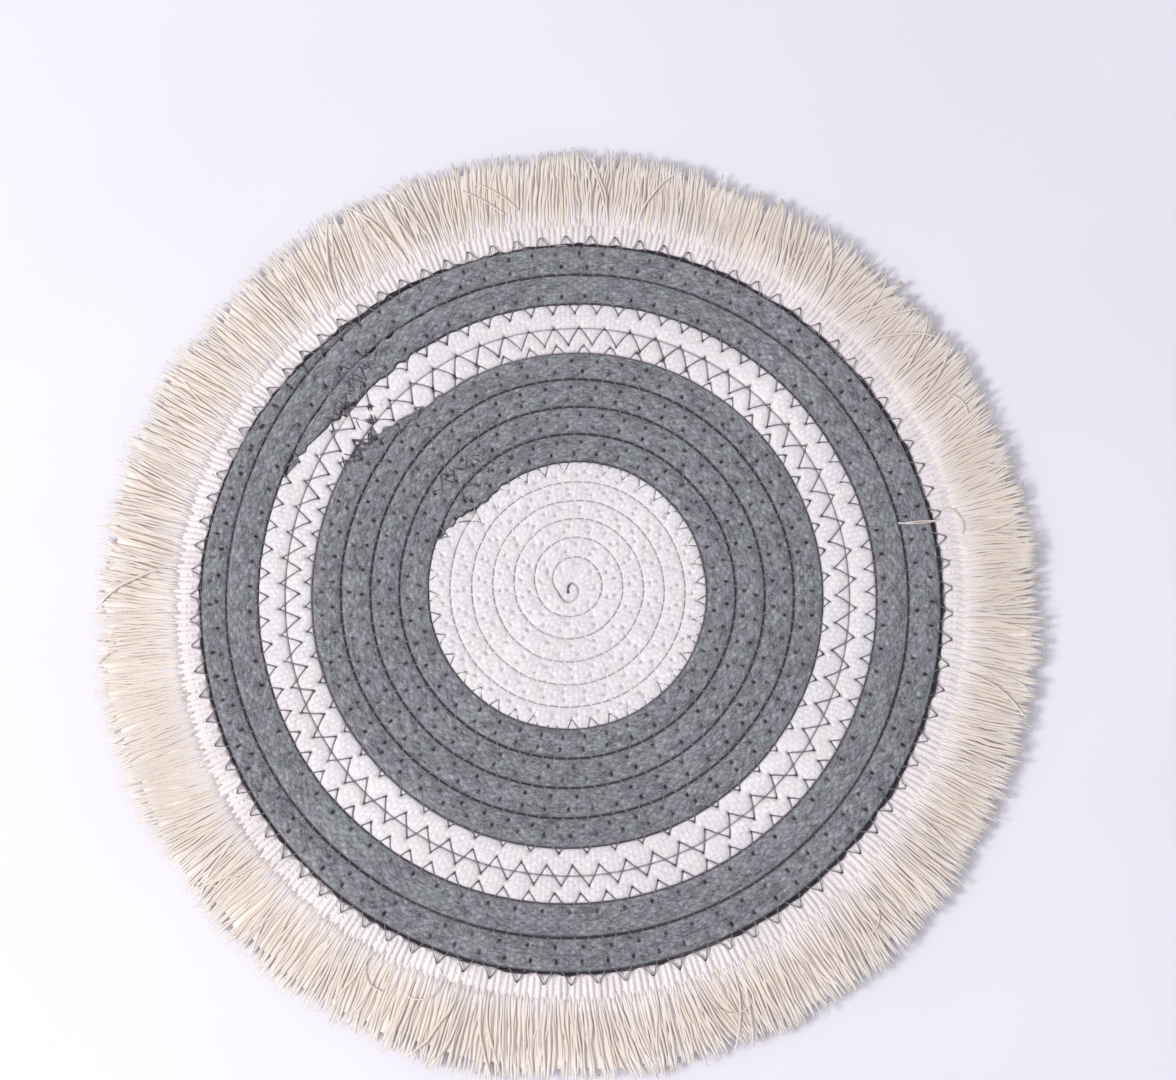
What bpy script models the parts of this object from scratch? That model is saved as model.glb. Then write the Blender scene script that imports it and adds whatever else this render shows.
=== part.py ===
# Round placemat: four lengths of braided cotton rope coiled flat into one spiral,
# edged with a looped yarn fringe.
# Metres, +Z up, origin under the middle of the mat, underside at z = 0.
import math

import bpy

# ---- driving dimensions ----
STATIONS_PER_TURN = 36          # cross-sections in one turn of the spiral
SPLICE_ANGLE = math.radians(135)  # direction from the centre in which the turns are counted
FIRST_STATION = -32             # the tucked-in start of the rope
CORE_RADIUS = 0.0004            # the start curls round a dimple of this radius
PIECE_GAP = 0.0003              # clearance between neighbouring turns and pieces
END_WIDTH = 0.0008              # width left at a tapered rope end
SPLICE_STATIONS = 1             # stations on each side of a splice where two ropes share the lane
STATION_SLACK = 1e-6            # turns, so that a station on a limit counts as reached
WIDTH_HALF_ARC = 0.09           # turns on each side of a splice where the lane changes its width
EDGE_DRAW_IN = 0.0022           # the last turn is pulled this much narrower
DRAW_IN_START, DRAW_IN_FULL = 13.68, 13.87  # turns
END_TAPER_BEFORE = 4            # stations before its last full turn where the last rope starts to narrow
END_TAPER_AFTER = 3             # and would reach no width this many stations after it
END_CUT_AFTER = 1               # where it is cut off

# Most of the outward growth of every turn is one step near the splice direction.
STEP_RISE = 0.0060
STEP_CENTRE = 0.045             # turns after the splice direction
STEP_HALF_ARC = 0.19            # turns

# The innermost turns sit off the centre of the mat, less and less from one turn to the next.
CORE_SHIFT = 0.0022
CORE_SHIFT_ANGLE = math.radians(74)
CORE_SHIFT_GROWS = (0.6, 1.1)   # turns
CORE_SHIFT_FADES = (1.2, 6.0)   # turns

WHITE_COTTON = (0.82, 0.78, 0.79)
GREY_COTTON = (0.19, 0.20, 0.22)

# Each rope length, from the middle outwards.
# Early is how many stations before the splice direction it ends.
ROPES = [
    {"name": "centre_coil", "turns": 6, "early": 1,
     "width": 0.0067, "height": 0.0060, "colour": WHITE_COTTON},
    {"name": "inner_grey_coil", "turns": 4, "early": 0,
     "width": 0.0092, "height": 0.0066, "colour": GREY_COTTON},
    {"name": "white_band_coil", "turns": 2, "early": 1,
     "width": 0.0083, "height": 0.0066, "colour": WHITE_COTTON},
    {"name": "outer_grey_coil", "turns": 2, "early": 0,
     "width": 0.0102, "height": 0.0066, "colour": GREY_COTTON},
]

# Rope cross-section, once round from the inner foot: across is a share of the width,
# up a share of the height.
ROPE_SECTION = [
    {"across": -0.27, "up": 0.00},
    {"across": 0.27, "up": 0.00},
    {"across": 0.50, "up": 0.42},
    {"across": 0.30, "up": 0.90},
    {"across": 0.00, "up": 1.00},
    {"across": -0.30, "up": 0.90},
    {"across": -0.50, "up": 0.42},
]

FRINGE_RADIUS = 0.1500          # the longest fringe tips
FRINGE_TEETH = 72               # tufts of the comb, two for each station of the rope
HEADING_WIDTH = 0.0075          # looped heading of the trim
HEADING_HEIGHT = 0.0044         # trim height against the rope
FRINGE_ROOT_HEIGHT = 0.0036     # trim height where the tufts start
FRINGE_TIP_HEIGHT = 0.0020      # height of the tips
TUFT_ROOT_SHARE = 0.92          # tuft width at its root, as a share of its pitch
TUFT_TIP_SHARE = 0.80           # tuft width at its tip, as a share of its pitch
# Shorter tufts between the longest ones: waves round the mat and the depth of each.
TUFT_WAVES = [
    {"waves": 12, "depth": 0.0022},
    {"waves": 20, "depth": 0.0016},
]
FRINGE_COLOUR = (0.80, 0.72, 0.62)

ROPE_ROUGHNESS = 0.95
FRINGE_ROUGHNESS = 0.9


def smooth(value):
    """Goes from 0 to 1 with soft ends as value goes from 0 to 1."""
    value = min(1.0, max(0.0, value))
    return value * value * (3.0 - 2.0 * value)


def total_turns():
    return sum(rope["turns"] for rope in ROPES)


def rope_width(turn):
    """Width of the rope laid at this turn, blended over the splices."""
    width = ROPES[0]["width"]
    end = 0
    for before, after in zip(ROPES, ROPES[1:]):
        end += before["turns"]
        share = smooth(0.5 + (turn - end) / (2.0 * WIDTH_HALF_ARC))
        width += (after["width"] - before["width"]) * share
    return width


def step_offset(turn):
    """How far the seam runs ahead of an even spiral: much of a turn's growth is one step."""
    phase = turn - math.floor(turn + 0.5)
    return STEP_RISE * (smooth(0.5 + (phase - STEP_CENTRE) / (2.0 * STEP_HALF_ARC)) - 0.5 - phase)


def core_offset(turn):
    """How far out the seam is moved by the off-centre core."""
    grown = smooth((turn - CORE_SHIFT_GROWS[0]) / (CORE_SHIFT_GROWS[1] - CORE_SHIFT_GROWS[0]))
    faded = smooth((turn - CORE_SHIFT_FADES[0]) / (CORE_SHIFT_FADES[1] - CORE_SHIFT_FADES[0]))
    angle = SPLICE_ANGLE - 2.0 * math.pi * turn
    return CORE_SHIFT * grown * (1.0 - faded) * math.cos(angle - CORE_SHIFT_ANGLE)


def seam_radius(turn):
    """Radius of the seam on the inner side of the rope laid at this turn."""
    if turn < 0.0:
        return CORE_RADIUS
    lap = math.floor(turn)
    first = turn - lap
    radius = ROPES[0]["width"] * first
    radius += sum(rope_width(first + k) for k in range(lap))
    return max(CORE_RADIUS, radius + step_offset(turn) + core_offset(turn))


def last_rope_width(turn):
    """Room taken by the last rope at this turn, narrowing past the splice direction."""
    taper_start = total_turns() - END_TAPER_BEFORE / STATIONS_PER_TURN
    taper_arc = (END_TAPER_BEFORE + END_TAPER_AFTER) / STATIONS_PER_TURN
    full = seam_radius(turn + 1.0) - seam_radius(turn)
    full -= EDGE_DRAW_IN * smooth((turn - DRAW_IN_START) / (DRAW_IN_FULL - DRAW_IN_START))
    return full * (1.0 - smooth((turn - taper_start) / taper_arc))


def mat_edge_radius(turn):
    """Radius of the closed outer edge of the coil, all round the last rope and its tapering end."""
    phase = turn - math.floor(turn)
    lap = total_turns() - 1.0
    if phase < END_TAPER_AFTER / STATIONS_PER_TURN:
        lap += 1.0
    return seam_radius(lap + phase) + last_rope_width(lap + phase)


def direction(turn):
    """Unit direction from the centre; the coil runs clockwise seen from above."""
    angle = SPLICE_ANGLE - 2.0 * math.pi * turn
    return math.cos(angle), math.sin(angle)


def rope_edges(turn, start, end):
    """Inner and outer radius of one rope at this turn; start and end are its splices or None."""
    inner = seam_radius(turn) + PIECE_GAP / 2.0
    outer = seam_radius(turn + 1.0) - PIECE_GAP / 2.0
    if end is None:
        outer = inner + last_rope_width(turn) - PIECE_GAP
    half = SPLICE_STATIONS / STATIONS_PER_TURN
    starts_here = start is not None and turn < start + half + STATION_SLACK
    ends_here = end is not None and turn > end - half - STATION_SLACK
    if starts_here or ends_here:
        splice = start if starts_here else end
        share = (turn - splice + half) / (2.0 * half)
        room = outer - inner - 2.0 * END_WIDTH - PIECE_GAP
        split = outer - END_WIDTH - PIECE_GAP / 2.0 - room * share
        if starts_here:
            inner = split + PIECE_GAP / 2.0
        else:
            outer = split - PIECE_GAP / 2.0
    return inner, outer


def ring_of_points(turn, inner, outer, height):
    """One cross-section of the rope, in world coordinates."""
    x, y = direction(turn)
    middle = (inner + outer) / 2.0
    width = outer - inner
    points = []
    for corner in ROPE_SECTION:
        radius = middle + corner["across"] * width
        points.append((x * radius, y * radius, corner["up"] * height))
    return points


def sweep_mesh(name, rings):
    """Closed tube through the cross-sections, with flat ends."""
    count = len(rings[0])
    vertices = [point for ring in rings for point in ring]
    faces = [tuple(reversed(range(count)))]
    for k in range(len(rings) - 1):
        low, high = k * count, (k + 1) * count
        for i in range(count):
            j = (i + 1) % count
            faces.append((low + i, low + j, high + j, high + i))
    last = (len(rings) - 1) * count
    faces.append(tuple(last + i for i in range(count)))
    mesh = bpy.data.meshes.new(name)
    mesh.from_pydata(vertices, [], faces)
    mesh.update()
    return mesh


def make_material(name, colour, roughness):
    material = bpy.data.materials.new(name)
    material.use_nodes = True
    shader = material.node_tree.nodes["Principled BSDF"]
    shader.inputs["Base Color"].default_value = (*colour, 1.0)
    shader.inputs["Roughness"].default_value = roughness
    shader.inputs["Metallic"].default_value = 0.0
    return material


def add_object(name, mesh, material):
    mesh.materials.append(material)
    placed = bpy.data.objects.new(name, mesh)
    bpy.context.scene.collection.objects.link(placed)
    return placed


def splice_station(index):
    """Station at which this rope hands over to the next one."""
    turns = sum(rope["turns"] for rope in ROPES[:index + 1])
    return turns * STATIONS_PER_TURN - ROPES[index]["early"]


def make_rope(index):
    """One rope length of the spiral, from its splice to the next."""
    rope = ROPES[index]
    is_first, is_last = index == 0, index == len(ROPES) - 1
    first = FIRST_STATION if is_first else splice_station(index - 1) - SPLICE_STATIONS
    last = splice_station(index) + (END_CUT_AFTER if is_last else SPLICE_STATIONS)
    start = None if is_first else splice_station(index - 1) / STATIONS_PER_TURN
    end = None if is_last else splice_station(index) / STATIONS_PER_TURN
    rings = []
    for station in range(first, last + 1):
        turn = station / STATIONS_PER_TURN
        inner, outer = rope_edges(turn, start, end)
        rings.append(ring_of_points(turn, inner, outer, rope["height"]))
    material = make_material(rope["name"] + "_cotton", rope["colour"], ROPE_ROUGHNESS)
    return add_object(rope["name"], sweep_mesh(rope["name"], rings), material)


def tuft_length_loss(angle):
    """How much shorter than the longest this tuft is."""
    return sum(wave["depth"] * (1.0 - math.cos(wave["waves"] * angle)) / 2.0 for wave in TUFT_WAVES)


def fringe_profile(turn, outline):
    """Points under and on top of the trim in one direction, from (radius, height) pairs."""
    x, y = direction(turn)
    low = [(x * radius, y * radius, 0.0) for radius, height in outline]
    high = [(x * radius, y * radius, height) for radius, height in outline]
    return low, high


def make_fringe():
    """The trim as one comb: a closed heading ring and a tapering tuft for each tooth."""
    vertices, faces = [], []
    pitch = 1.0 / FRINGE_TEETH
    root_half, tip_half = TUFT_ROOT_SHARE * pitch / 2.0, TUFT_TIP_SHARE * pitch / 2.0

    def add(points):
        vertices.extend(points)
        return list(range(len(vertices) - len(points), len(vertices)))

    heading = []
    for tooth in range(FRINGE_TEETH):
        for side in (-1.0, 1.0):
            turn = tooth * pitch + side * root_half
            edge = mat_edge_radius(turn) + PIECE_GAP
            root = edge + HEADING_WIDTH
            low, high = fringe_profile(turn, [(edge, HEADING_HEIGHT), (root, FRINGE_ROOT_HEIGHT)])
            heading.append({"low": add(low), "high": add(high)})

    count = len(heading)
    for k in range(count):
        here, there = heading[k], heading[(k + 1) % count]
        faces.append((there["high"][0], there["high"][1], here["high"][1], here["high"][0]))
        faces.append((there["low"][1], there["low"][0], here["low"][0], here["low"][1]))
        faces.append((there["low"][0], there["high"][0], here["high"][0], here["low"][0]))
        if k % 2 == 1:
            faces.append((there["high"][1], there["low"][1], here["low"][1], here["high"][1]))

    for tooth in range(FRINGE_TEETH):
        turn = tooth * pitch
        angle = SPLICE_ANGLE - 2.0 * math.pi * turn
        tip = FRINGE_RADIUS - tuft_length_loss(angle)
        tips = []
        for side in (-1.0, 1.0):
            low, high = fringe_profile(turn + side * tip_half, [(tip, FRINGE_TIP_HEIGHT)])
            tips.append({"low": add(low)[0], "high": add(high)[0]})
        left, right = heading[2 * tooth], heading[2 * tooth + 1]
        faces.append((right["high"][1], tips[1]["high"], tips[0]["high"], left["high"][1]))
        faces.append((left["low"][1], tips[0]["low"], tips[1]["low"], right["low"][1]))
        faces.append((left["high"][1], tips[0]["high"], tips[0]["low"], left["low"][1]))
        faces.append((right["low"][1], tips[1]["low"], tips[1]["high"], right["high"][1]))
        faces.append((tips[0]["high"], tips[1]["high"], tips[1]["low"], tips[0]["low"]))

    mesh = bpy.data.meshes.new("fringe_trim")
    mesh.from_pydata(vertices, [], faces)
    mesh.update()
    material = make_material("fringe_cotton", FRINGE_COLOUR, FRINGE_ROUGHNESS)
    return add_object("fringe_trim", mesh, material)


def main():
    for old in list(bpy.data.objects):
        bpy.data.objects.remove(old)
    for index in range(len(ROPES)):
        make_rope(index)
    make_fringe()


main()
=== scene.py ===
import math

import bpy
import numpy as np
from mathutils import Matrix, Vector


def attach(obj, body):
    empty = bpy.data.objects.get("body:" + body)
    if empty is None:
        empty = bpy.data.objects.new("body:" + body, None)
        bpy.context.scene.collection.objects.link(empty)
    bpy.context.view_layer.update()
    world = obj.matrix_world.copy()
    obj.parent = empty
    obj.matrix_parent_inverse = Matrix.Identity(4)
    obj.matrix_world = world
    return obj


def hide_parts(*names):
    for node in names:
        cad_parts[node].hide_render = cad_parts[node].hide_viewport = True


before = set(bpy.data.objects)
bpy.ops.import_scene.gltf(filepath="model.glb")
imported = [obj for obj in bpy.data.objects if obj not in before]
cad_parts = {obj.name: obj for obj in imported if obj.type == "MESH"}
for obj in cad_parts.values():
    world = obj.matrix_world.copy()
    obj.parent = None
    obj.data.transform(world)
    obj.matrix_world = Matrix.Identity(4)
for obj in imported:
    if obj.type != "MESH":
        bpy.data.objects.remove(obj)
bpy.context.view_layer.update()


mm = 0.001

coil = {
    "zeroDegrees": 135.0,            # direction in which turns are counted; the coil runs clockwise
    "startTurn": -32 / 36,           # tucked-in start of the rope
    "coreRadius": 0.4 * mm,
    "endWidth": 0.8 * mm,
    "spliceHalfArc": 1 / 36,         # turns
    "widthHalfArc": 0.09,
    "drawIn": 2.2 * mm,              # the last turn is pulled this much narrower
    "drawInTurns": (13.68, 13.87),
    "endTaperTurns": (14 - 4 / 36, 14 + 3 / 36),
    "endCutTurn": 14 + 1 / 36,
    "stepRise": 6.0 * mm,
    "stepCentre": 0.045,
    "stepHalfArc": 0.19,
    "coreShift": 2.2 * mm,
    "coreShiftDegrees": 74.0,
    "coreShiftGrows": (0.6, 1.1),
    "coreShiftFades": (1.2, 6.0),
    "seamWobble": 0.12 * mm,         # hand-guided seams are never quite even
    "ragged": 0.65 * mm,             # fluffed edges either side of a splice
    "raggedTurns": 0.075,
    "raggedLengths": (2.4 * mm, 3.0 * mm, 2.6 * mm),    # of one bump, at each splice
    "usualWidth": 7.3 * mm,          # of a turn near the splices
}

# From the middle outwards; early is how many 36ths of a turn before the count direction the rope ends.
ropes = [
    {"piece": "centreRope", "node": "centre_coil", "slot": "centre_rope", "turns": 6, "early": 1,
     "width": 6.7 * mm, "height": 6.0 * mm,
     "braid": 0.3, "puff": 0.35, "seamUp": 0.88, "sink": 0.26 * mm},
    {"piece": "innerGreyRope", "node": "inner_grey_coil", "slot": "inner_grey_rope", "turns": 4, "early": 0,
     "width": 9.2 * mm, "height": 6.6 * mm,
     "braid": 0.9, "puff": 0.6, "seamUp": 0.80, "sink": 0.22 * mm},
    {"piece": "whiteBandRope", "node": "white_band_coil", "slot": "white_band_rope", "turns": 2, "early": 1,
     "width": 8.3 * mm, "height": 6.6 * mm,
     "braid": 0.3, "puff": 1.0, "seamUp": 0.80, "sink": 0.0},
    {"piece": "outerGreyRope", "node": "outer_grey_coil", "slot": "outer_grey_rope", "turns": 2, "early": 0,
     "width": 10.2 * mm, "height": 6.6 * mm,
     "braid": 0.9, "puff": 0.6, "seamUp": 0.80, "sink": 0.22 * mm},
]
totalTurns = sum(rope["turns"] for rope in ropes)
spliceLaps = [sum(rope["turns"] for rope in ropes[:count]) for count in (1, 2, 3)]
greyLaps = ((spliceLaps[0], spliceLaps[1]), (spliceLaps[2], totalTurns))


def smoothStep(value):
    value = np.clip(value, 0.0, 1.0)
    return value * value * (3.0 - 2.0 * value)


# 0 below the first limit, 1 above the second, smooth between them.
def between(value, limits):
    return smoothStep((value - limits[0]) / (limits[1] - limits[0]))


# Smooth random values from -1 to 1, one new value for each whole x.
def softNoise(x, seed, cells=4096):
    table = np.random.default_rng(seed).uniform(-1.0, 1.0, cells)
    cell = np.floor(x).astype(int)
    share = smoothStep(x - cell)
    return table[cell % cells] * (1.0 - share) + table[(cell + 1) % cells] * share


def turnAngle(turn):
    return math.radians(coil["zeroDegrees"]) - 2.0 * math.pi * turn


def ropeWidth(turn):
    width = np.full_like(turn, ropes[0]["width"])
    end = 0
    for before, after in zip(ropes, ropes[1:]):
        end += before["turns"]
        share = smoothStep(0.5 + (turn - end) / (2.0 * coil["widthHalfArc"]))
        width = width + (after["width"] - before["width"]) * share
    return width


# Radius of the seam on the inner side of the rope at this turn.
def seamRadius(turn):
    turn = np.asarray(turn, float)
    lap = np.floor(turn)
    first = turn - lap
    radius = ropes[0]["width"] * first
    for k in range(totalTurns + 1):
        radius = radius + np.where(k < lap, ropeWidth(first + k), 0.0)
    phase = turn - np.floor(turn + 0.5)
    ahead = smoothStep(0.5 + (phase - coil["stepCentre"]) / (2.0 * coil["stepHalfArc"])) - 0.5 - phase
    shift = coil["coreShift"] * between(turn, coil["coreShiftGrows"])
    shift = shift * (1.0 - between(turn, coil["coreShiftFades"]))
    aside = np.cos(turnAngle(turn) - math.radians(coil["coreShiftDegrees"]))
    radius = radius + coil["stepRise"] * ahead + shift * aside
    return np.where(turn < 0.0, coil["coreRadius"], np.maximum(coil["coreRadius"], radius))


def lastRopeWidth(turn):
    full = seamRadius(turn + 1.0) - seamRadius(turn)
    full = full - coil["drawIn"] * between(turn, coil["drawInTurns"])
    return full * (1.0 - between(turn, coil["endTaperTurns"]))


# Radius of the closed outer edge of the coil.
def edgeRadius(turn):
    turn = np.asarray(turn, float)
    phase = turn - np.floor(turn)
    lap = np.where(phase < coil["endTaperTurns"][1] - totalTurns, totalTurns, totalTurns - 1)
    return seamRadius(lap + phase) + lastRopeWidth(lap + phase)


def spliceTurn(index):
    return sum(rope["turns"] for rope in ropes[:index + 1]) - ropes[index]["early"] / 36


# The seam as it was really sewn, with a little wobble from the third turn on.
def seamLine(turn):
    wobble = softNoise(turn * 23.0, 5) * coil["seamWobble"] * between(turn, (1.0, 3.0))
    for splice, length in zip(spliceLaps, coil["raggedLengths"]):
        near = 1.0 - smoothStep(np.abs(turn - splice - 0.02) / coil["raggedTurns"])
        cells = 2.0 * math.pi * coil["usualWidth"] * splice / length
        wobble = wobble + near * coil["ragged"] * softNoise(turn * cells, 6)
    return seamRadius(turn) + wobble


# How far through its splice a rope's end is at this turn, and the radius where it meets the next start.
def spliceSplit(index, turn, inner, outer):
    half = coil["spliceHalfArc"]
    share = (turn - spliceTurn(index) + half) / (2.0 * half)
    room = outer - inner - 2.0 * coil["endWidth"]
    inside = smoothStep(share * 6.0) * smoothStep((1.0 - share) * 6.0)
    ragged = coil["ragged"] * inside * softNoise(turn * 230.0, 7)
    return share, outer - coil["endWidth"] - room * np.clip(share, 0.0, 1.0) + ragged


# Inner and outer radius of one rope where it lies, touching its neighbours.
def ropeEdges(index, turn):
    inner, outer = seamLine(turn), seamLine(turn + 1.0)
    if index == len(ropes) - 1:
        outer = inner + lastRopeWidth(turn)
    lane = (inner, outer)
    if index > 0:
        share, split = spliceSplit(index - 1, turn, *lane)
        inner = np.where(share < 1.0, split, inner)
    if index < len(ropes) - 1:
        share, split = spliceSplit(index, turn, *lane)
        outer = np.where(share > 0.0, split, outer)
    return inner, outer


def polar(turn, radius, height):
    angle = turnAngle(turn)
    return np.stack(np.broadcast_arrays(radius * np.cos(angle), radius * np.sin(angle), height), -1)


# How the machine ran at each turn: length of one zigzag, half its width, how far it runs outward of
# the seam, and how much of that changes with the direction (towards +Y).
zigzagRuns = [
    {"turn": 0.00, "period": 6.6 * mm, "reach": 2.2 * mm, "aside": 0.0, "lean": 0.0},
    {"turn": 5.80, "period": 6.6 * mm, "reach": 2.3 * mm, "aside": 0.0, "lean": 0.0},
    {"turn": 6.05, "period": 6.7 * mm, "reach": 3.0 * mm, "aside": -0.2 * mm, "lean": 0.0},
    {"turn": 6.95, "period": 7.0 * mm, "reach": 3.0 * mm, "aside": -0.2 * mm, "lean": 0.0},
    {"turn": 7.10, "period": 7.9 * mm, "reach": 2.7 * mm, "aside": 0.0, "lean": 0.0},
    {"turn": 9.95, "period": 8.0 * mm, "reach": 2.7 * mm, "aside": 0.0, "lean": 0.0},
    {"turn": 10.05, "period": 8.0 * mm, "reach": 2.7 * mm, "aside": -0.6 * mm, "lean": 0.5 * mm},
    {"turn": 10.95, "period": 8.2 * mm, "reach": 2.7 * mm, "aside": -0.6 * mm, "lean": 0.5 * mm},
    {"turn": 11.05, "period": 8.7 * mm, "reach": 3.15 * mm, "aside": -1.25 * mm, "lean": -1.2 * mm},
    {"turn": 11.95, "period": 8.7 * mm, "reach": 3.15 * mm, "aside": -1.25 * mm, "lean": -1.2 * mm},
    {"turn": 12.05, "period": 7.8 * mm, "reach": 2.9 * mm, "aside": -0.2 * mm, "lean": 0.0},
    {"turn": 12.95, "period": 7.9 * mm, "reach": 2.9 * mm, "aside": -0.2 * mm, "lean": 0.0},
    {"turn": 13.05, "period": 8.1 * mm, "reach": 2.8 * mm, "aside": 0.0, "lean": 0.0},
    {"turn": 15.00, "period": 8.1 * mm, "reach": 2.8 * mm, "aside": 0.0, "lean": 0.0},
]

zigzag = {
    "firstTurn": 0.9,
    "colourTurn": 5.97,              # white thread before this turn, grey after it
    "lastTurn": 14.02,
    "fallShare": 0.58,               # part of a period in which the thread runs back to the inner row
    "periodDrift": 0.09,
    "edgeCount": 92,                 # stitches round the closed outer edge
    "edgeReach": 3.5 * mm,
    "edgeAside": 0.55 * mm,
    "threadRadius": 0.25 * mm,
    "edgeThreadRadius": 0.1875 * mm,
    "threadSink": 0.12 * mm,
    "needleDip": 0.9 * mm,
    "dipLength": 0.5 * mm,
    "legReaches": 2.2,               # length of one leg, in reaches
    "bridgeDrop": 0.7 * mm,          # how far the thread sinks where it crosses the seam
    "underHeight": 0.30 * mm,        # of the thread's middle on the underside, above the table
    "underRise": 0.8 * mm,           # at the needle points
}


def runValue(turn, column):
    turns = [row["turn"] for row in zigzagRuns]
    return np.interp(turn, turns, [row[column] for row in zigzagRuns])


def runAside(turn):
    return runValue(turn, "aside") + runValue(turn, "lean") * np.sin(turnAngle(turn))


phaseTurns = np.arange(0.0, 15.0, 0.0005)
phaseSteps = 2.0 * math.pi * seamRadius(phaseTurns) * 0.0005
phaseDrift = 1.0 + zigzag["periodDrift"] * softNoise(phaseTurns * 9.0, 11)
phaseTable = np.cumsum(phaseSteps / (runValue(phaseTurns, "period") * phaseDrift))


def seamPhase(turn):
    return np.interp(turn, phaseTurns, phaseTable)


# +1 at the outer needle row, -1 at the inner one.
def zigShape(phase):
    part = phase - np.floor(phase)
    fall = zigzag["fallShare"]
    return np.where(part < fall, 1.0 - 2.0 * part / fall, -1.0 + 2.0 * (part - fall) / (1.0 - fall))


# Phase, reach, aside and period of the stitches over the seam at this turn.
def seamStitch(turn):
    return seamPhase(turn), runValue(turn, "reach"), runAside(turn), runValue(turn, "period")


def edgeStitch(turn):
    phase = (turn - np.floor(turn)) * zigzag["edgeCount"]
    ones = np.ones_like(phase)
    period = 2.0 * math.pi * edgeRadius(turn) / zigzag["edgeCount"]
    return phase, zigzag["edgeReach"] * ones, zigzag["edgeAside"] * ones, period


# The rope's cross-section, and the distance between two of them along it.
section = {
    "topPoints": 19,
    "bottomPoints": 8,
    "topExponent": 2.6,
    "bottomExponent": 4.5,
    "stationStep": 0.56 * mm,
}

relief = {
    "troughDepth": 0.22 * mm,        # directly under the thread
    "troughWidth": 0.38 * mm,
    "puffDepth": 0.38 * mm,          # the rope swells between the stitches
    "puffWidth": 1.15 * mm,
    "holeDepth": 0.75 * mm,
    "holeWidth": 0.62 * mm,
    "braidDepth": 0.16 * mm,
    "braidLength": 3.3 * mm,
    "braidWidth": 2.3 * mm,
    "lumpDepth": 0.10 * mm,
}


# How deep one line of stitches presses the rope in, at this distance outward of its seam.
def stitchDents(lateral, stitch, puff):
    phase, reach, aside, period = stitch
    part = phase - np.floor(phase)
    fall = zigzag["fallShare"]
    slope = 2.0 * reach / (np.where(part < fall, fall, 1.0 - fall) * period)
    out = lateral - aside
    toThread = np.abs(out - reach * zigShape(phase)) / np.sqrt(1.0 + slope * slope)
    outerAlong = np.minimum(part, 1.0 - part) * period
    innerAlong = np.minimum(np.abs(part - fall), 1.0 - np.abs(part - fall)) * period
    toHole = np.minimum(np.hypot(outerAlong, out - reach), np.hypot(innerAlong, out + reach))
    toStitch = np.where(np.abs(out) > reach, toHole, np.minimum(toThread, toHole))
    dent = relief["troughDepth"] * np.exp(-(toStitch / relief["troughWidth"]) ** 2)
    dent = dent + puff * relief["puffDepth"] * np.exp(-(toStitch / relief["puffWidth"]) ** 2)
    return dent + relief["holeDepth"] * np.exp(-(toHole / relief["holeWidth"]) ** 2)


# Height share of a rope's rounded top at share -1 to 1 across it.
def domeHeight(share, seamUp=0.8):
    exponent = section["topExponent"]
    return seamUp + (1.0 - seamUp) * (1.0 - np.clip(np.abs(share), 0.0, 1.0) ** exponent) ** (1.0 / exponent)


def ropeHeight(turn):
    height = np.full_like(turn, ropes[0]["height"])
    return height + (ropes[1]["height"] - ropes[0]["height"]) * between(turn, (5.9, 6.05))


def newObject(name, data):
    placed = bpy.data.objects.new(name, data)
    bpy.context.scene.collection.objects.link(placed)
    return placed


# A mesh piece from points and groups of faces; fields holds values for each point, for its material.
def makePiece(name, points, faceGroups, material, fields):
    mesh = bpy.data.meshes.new(name)
    corners = np.concatenate([group.ravel() for group in faceGroups]).astype(np.int32)
    counts = np.concatenate([np.full(len(group), group.shape[1]) for group in faceGroups])
    starts = np.concatenate([[0], np.cumsum(counts)[:-1]]).astype(np.int32)
    mesh.vertices.add(len(points))
    mesh.vertices.foreach_set("co", points.astype(np.float32).ravel())
    mesh.loops.add(len(corners))
    mesh.loops.foreach_set("vertex_index", corners)
    mesh.polygons.add(len(counts))
    mesh.polygons.foreach_set("loop_start", starts)
    mesh.update(calc_edges=True)
    mesh.shade_smooth()
    for field, values in fields.items():
        kind, member = ("FLOAT_VECTOR", "vector") if values.ndim == 2 else ("FLOAT", "value")
        attribute = mesh.attributes.new(field, kind, "POINT")
        attribute.data.foreach_set(member, values.astype(np.float32).ravel())
    mesh.materials.append(material)
    piece = newObject(name, mesh)
    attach(piece, "root")
    print(f"{name}: {len(points)} points, {int((counts - 2).sum())} triangles")
    return piece


# Side quads and end caps of tubes whose points are index[tube, along, around].
def tubeFaces(index):
    turned = np.roll(index, -1, axis=2)
    quads = np.stack([index[:, :-1], index[:, 1:], turned[:, 1:], turned[:, :-1]], -1)
    caps = np.concatenate([index[:, 0], index[:, -1, ::-1]])
    return [quads.reshape(-1, 4), caps]


# Tubes along paths[tube, along, xyz]; radii has one value for each path point, flatness is height to width.
def sweepTubes(paths, radii, sides, flatness=1.0):
    along = np.gradient(paths, axis=1)
    along /= np.linalg.norm(along, axis=2, keepdims=True) + 1e-12
    across = np.cross(along, (0.0, 0.0, 1.0))
    across /= np.linalg.norm(across, axis=2, keepdims=True) + 1e-12
    over = np.cross(across, along) * flatness
    angle = np.linspace(0.0, 2.0 * math.pi, sides, endpoint=False) + math.pi / sides
    ring = across[:, :, None] * np.cos(angle)[:, None] + over[:, :, None] * np.sin(angle)[:, None]
    radii = np.broadcast_to(radii, paths.shape[:2])
    points = paths[:, :, None] + ring * radii[:, :, None, None]
    index = np.arange(points.size // 3).reshape(points.shape[:3])
    return points.reshape(-1, 3), tubeFaces(index)


def pathShare(paths):
    return np.broadcast_to(np.linspace(0.0, 1.0, paths.shape[1]), paths.shape[:2])


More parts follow.
